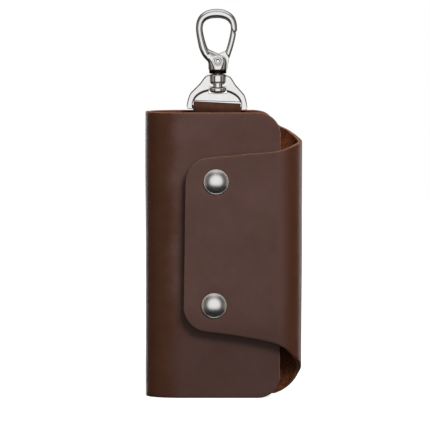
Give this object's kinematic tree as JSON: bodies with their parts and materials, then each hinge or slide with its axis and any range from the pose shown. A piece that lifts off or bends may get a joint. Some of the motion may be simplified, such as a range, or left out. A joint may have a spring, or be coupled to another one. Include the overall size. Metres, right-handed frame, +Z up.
{
  "type": "leather key pouch",
  "caption": "Upright folded leather key pouch with a snap-down flap tongue and a swivel trigger hook on a strap at the top.",
  "frame": {"origin": "centre of the bounding box at its base, on the surface that the pouch stands on", "axes": "+Z up along the pouch, the front panel and its snaps face -Y, the open curl of the flap is at +X"},
  "size_m": [0.062, 0.0188, 0.1546],
  "materials": {
    "leather": "smooth pull-up leather, flesh side inside",
    "strap_leather": "thin smooth leather",
    "nickel": "polished nickel plate"
  },
  "bodies": {
    "pouch": {"leather_body": "leather", "strap": "strap_leather", "strap_rivet": "nickel", "d_loop": "nickel", "snap_cap_upper": "nickel", "snap_cap_lower": "nickel", "snap_stud_upper": "nickel", "snap_stud_lower": "nickel"},
    "hook": {"hook": "nickel"},
    "gate": {"hook_gate": "nickel"}
  },
  "joints": [
    {"name": "hook_swivel", "type": "hinge", "parent": "pouch", "child": "hook", "pos_m": [-0.00235, 0.0041, 0.127], "axis": [0, 0, 1], "continuous": true},
    {"name": "gate_hinge", "type": "hinge", "parent": "hook", "child": "gate", "pos_m": [-0.00235, 0.0041, 0.1343], "axis": [0, -1, 0], "range_deg": [0, 28], "stiffness_Nm_per_rad": 0.02, "springref_deg": -20.05}
  ]
}
